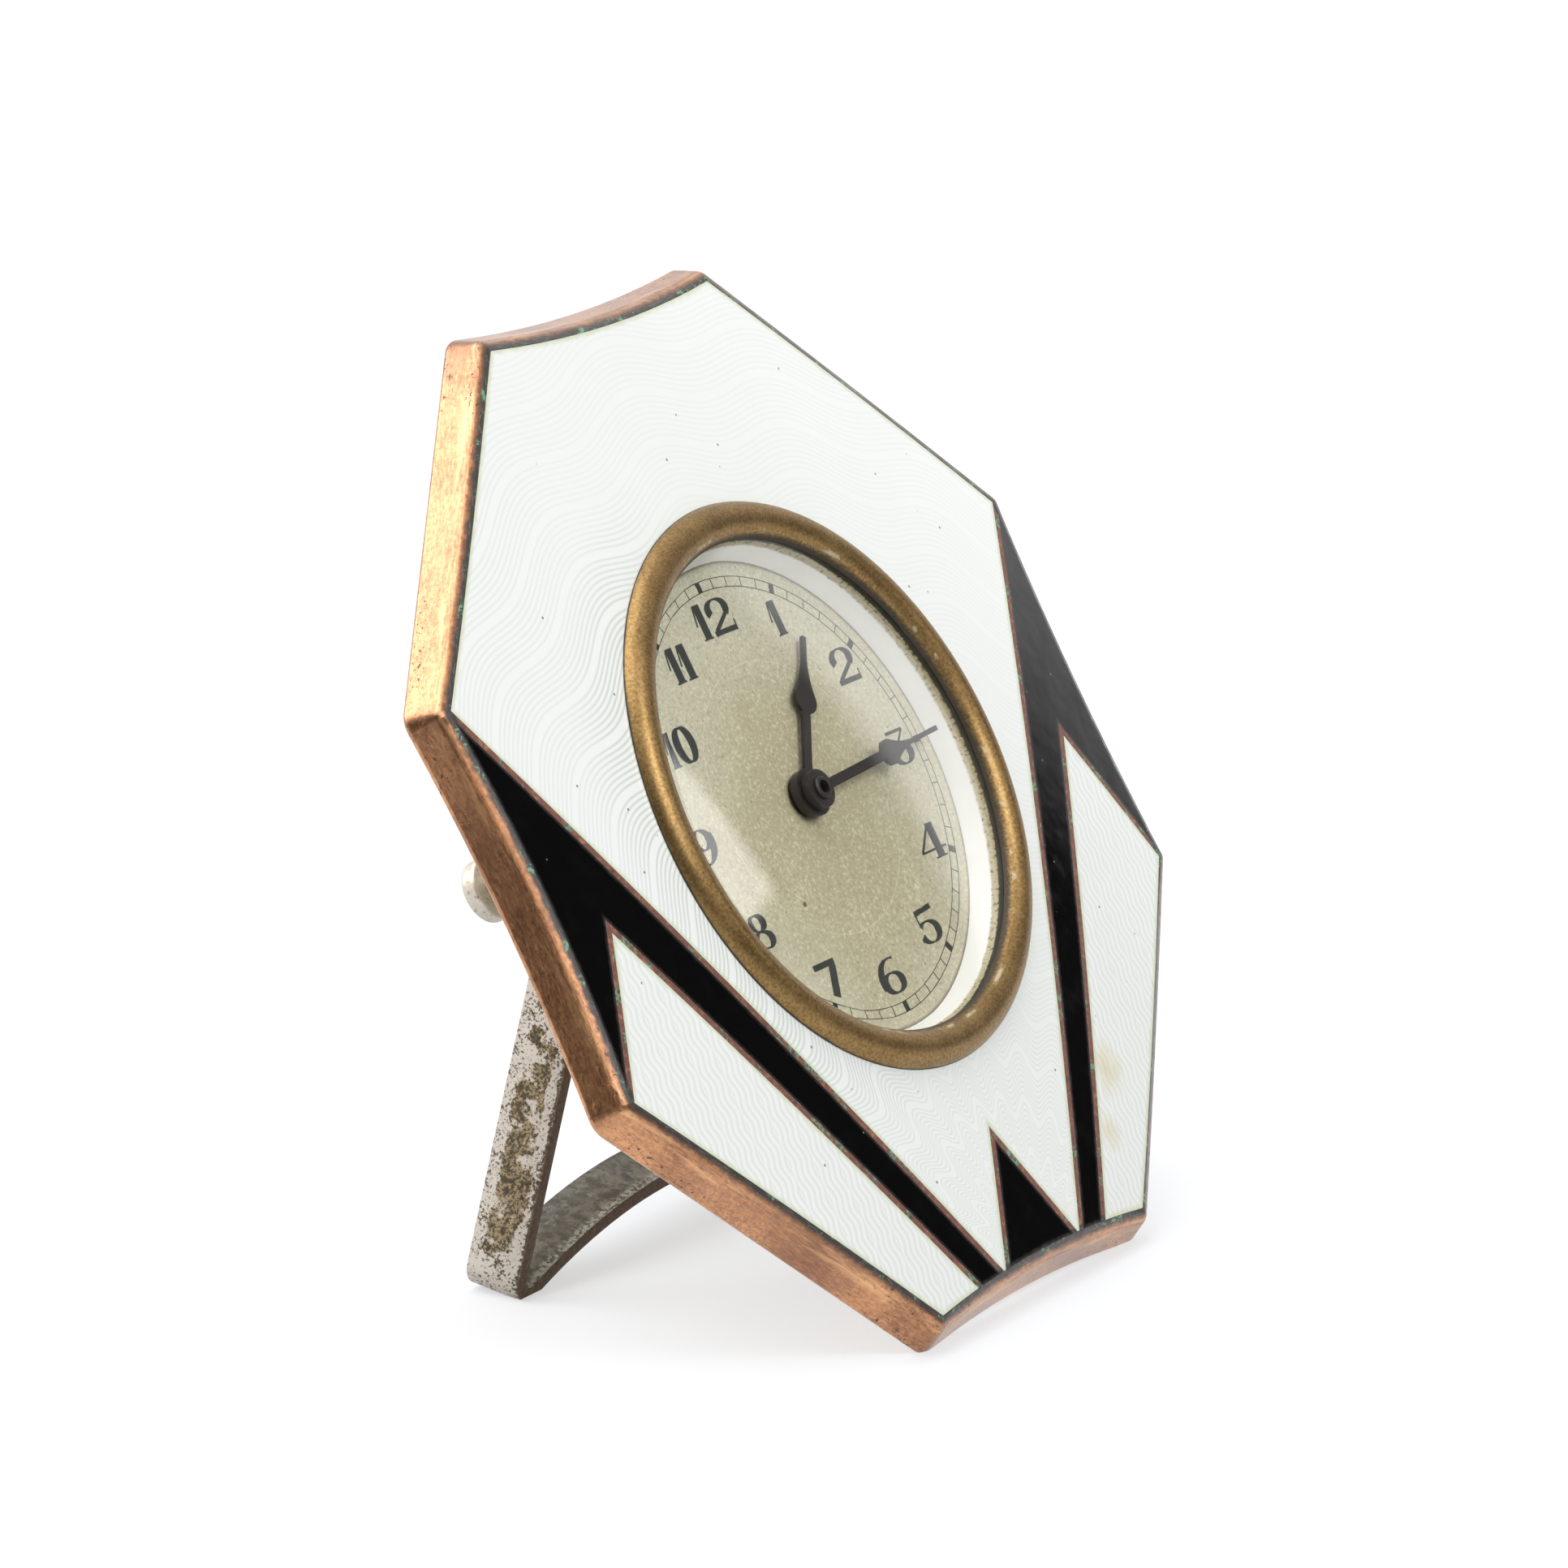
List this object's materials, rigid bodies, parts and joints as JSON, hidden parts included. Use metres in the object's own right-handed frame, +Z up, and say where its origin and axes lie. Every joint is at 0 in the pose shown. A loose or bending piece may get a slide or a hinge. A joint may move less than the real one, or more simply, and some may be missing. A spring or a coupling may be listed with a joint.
{
  "type": "pendulette clock",
  "caption": "Small octagonal desk clock: enamelled copper face leaning back on a folding strut, round dial under domed glass, wind-up movement in a drum behind.",
  "frame": {"origin": "on the surface the clock stands on, under the middle of its bounding box", "axes": "+X to the right seen from the front, +Y from the dial towards the back, +Z up"},
  "size_m": [0.0914, 0.0497, 0.0791],
  "materials": {
    "copper": "worn polished copper with dark patina at the edges",
    "white_enamel": "gloss translucent enamel over engine-turned metal",
    "black_enamel": "gloss",
    "bezel_bronze": "satin, worn",
    "glass": "clear gloss",
    "silvered": "bright silvered",
    "dial_paint": "aged silvered matt",
    "hand_black": "black gloss paint",
    "nickel": "pitted nickel plate",
    "plate_brass": "satin brass",
    "steel": "bright steel",
    "spring_steel": "blued steel"
  },
  "bodies": {
    "case": {"case_pan": "copper", "enamel_white_main": "white_enamel", "enamel_white_left": "white_enamel", "enamel_white_right": "white_enamel", "enamel_black_left": "black_enamel", "enamel_black_right": "black_enamel", "enamel_black_spike": "black_enamel", "bezel": "bezel_bronze", "crystal": "glass", "reflector": "silvered", "dial": "dial_paint", "back_plate": "plate_brass", "case_screws": "nickel", "drum": "nickel", "flange_screws": "nickel", "pivot_screws": "nickel", "rear_cover": "nickel", "movement_front_plate": "plate_brass", "movement_rear_plate": "plate_brass", "pillars": "plate_brass", "pillar_screws": "steel", "hairspring": "spring_steel"},
    "strut": {"strut": "nickel"},
    "minute_group": {"minute_hand": "hand_black", "cannon_pinion": "steel"},
    "hour_group": {"hour_hand": "hand_black", "hour_wheel": "plate_brass"},
    "minute_wheel": {"minute_wheel": "plate_brass"},
    "setting_group": {"set_arbor": "steel", "set_knob": "nickel"},
    "barrel_group": {"barrel": "plate_brass", "mainspring": "spring_steel"},
    "winding_group": {"barrel_arbor": "steel", "ratchet_wheel": "steel", "winding_key": "nickel"},
    "click": {"click": "steel"},
    "centre_wheel": {"centre_wheel": "plate_brass"},
    "third_wheel": {"third_wheel": "plate_brass"},
    "fourth_wheel": {"fourth_wheel": "plate_brass"},
    "escape_wheel": {"escape_wheel": "plate_brass"},
    "pallet_lever": {"pallet_lever": "steel"},
    "balance": {"balance": "plate_brass"}
  },
  "joints": [
    {"name": "strut_fold", "type": "hinge", "parent": "case", "child": "strut", "pos_m": [0, 0.00858, 0.0342], "axis": [1, 0, 0], "range_deg": [-50, 0]},
    {"name": "minute_spin", "type": "hinge", "parent": "case", "child": "minute_group", "pos_m": [0, -0.00107, 0.03978], "axis": [0, 0.866, -0.5], "continuous": true},
    {"name": "hour_spin", "type": "hinge", "parent": "case", "child": "hour_group", "pos_m": [0, -0.00107, 0.03978], "axis": [0, 0.866, -0.5], "continuous": true},
    {"name": "minute_wheel_spin", "type": "hinge", "parent": "case", "child": "minute_wheel", "pos_m": [-0.00686, 0.00262, 0.04018], "axis": [0, 0.866, -0.5], "continuous": true},
    {"name": "set_spin", "type": "hinge", "parent": "case", "child": "setting_group", "pos_m": [-0.01303, 0.0218, 0.0314], "axis": [0, 0.866, -0.5], "continuous": true},
    {"name": "fourth_spin", "type": "hinge", "parent": "case", "child": "fourth_wheel", "pos_m": [-0.00702, 0.01018, 0.04327], "axis": [0, 0.866, -0.5], "continuous": true},
    {"name": "third_spin", "type": "hinge", "parent": "case", "child": "third_wheel", "pos_m": [-0.00115, 0.00911, 0.04142], "axis": [0, 0.866, -0.5], "continuous": true},
    {"name": "centre_spin", "type": "hinge", "parent": "case", "child": "centre_wheel", "pos_m": [0, 0.00585, 0.03578], "axis": [0, 0.866, -0.5], "continuous": true},
    {"name": "barrel_spin", "type": "hinge", "parent": "case", "child": "barrel_group", "pos_m": [0.00846, 0.00431, 0.03311], "axis": [0, 0.866, -0.5], "continuous": true},
    {"name": "escape_spin", "type": "hinge", "parent": "case", "child": "escape_wheel", "pos_m": [-0.00805, 0.00725, 0.0382], "axis": [0, 0.866, -0.5], "continuous": true},
    {"name": "wind_spin", "type": "hinge", "parent": "case", "child": "winding_group", "pos_m": [0.00846, 0.01817, 0.02511], "axis": [0, 0.866, -0.5], "continuous": true},
    {"name": "click_lift", "type": "hinge", "parent": "case", "child": "click", "pos_m": [0.01038, 0.01294, 0.03505], "axis": [0, 0.866, -0.5], "range_deg": [0, 10], "stiffness_Nm_per_rad": 0.000001, "springref_deg": -11.46},
    {"name": "balance_swing", "type": "hinge", "parent": "case", "child": "balance", "pos_m": [-0.00877, 0.00317, 0.03113], "axis": [0, 0.866, -0.5], "range_deg": [-24, 24], "stiffness_Nm_per_rad": 0.00000047},
    {"name": "lever_swing", "type": "hinge", "parent": "case", "child": "pallet_lever", "pos_m": [-0.00833, 0.00566, 0.03544], "axis": [0, 0.866, -0.5], "range_deg": [-6, 6]}
  ],
  "couplings": [
    {"joint": "hour_spin", "follows": "minute_spin", "ratio": 0.083333},
    {"joint": "minute_wheel_spin", "follows": "minute_spin", "ratio": -0.33333},
    {"joint": "set_spin", "follows": "minute_spin", "ratio": 1.6667},
    {"joint": "third_spin", "follows": "fourth_spin", "ratio": -0.13333},
    {"joint": "centre_spin", "follows": "fourth_spin", "ratio": 0.016667},
    {"joint": "barrel_spin", "follows": "fourth_spin", "ratio": -0.0020833},
    {"joint": "escape_spin", "follows": "fourth_spin", "ratio": -10},
    {"joint": "lever_swing", "follows": "balance_swing", "ratio": -0.25}
  ]
}
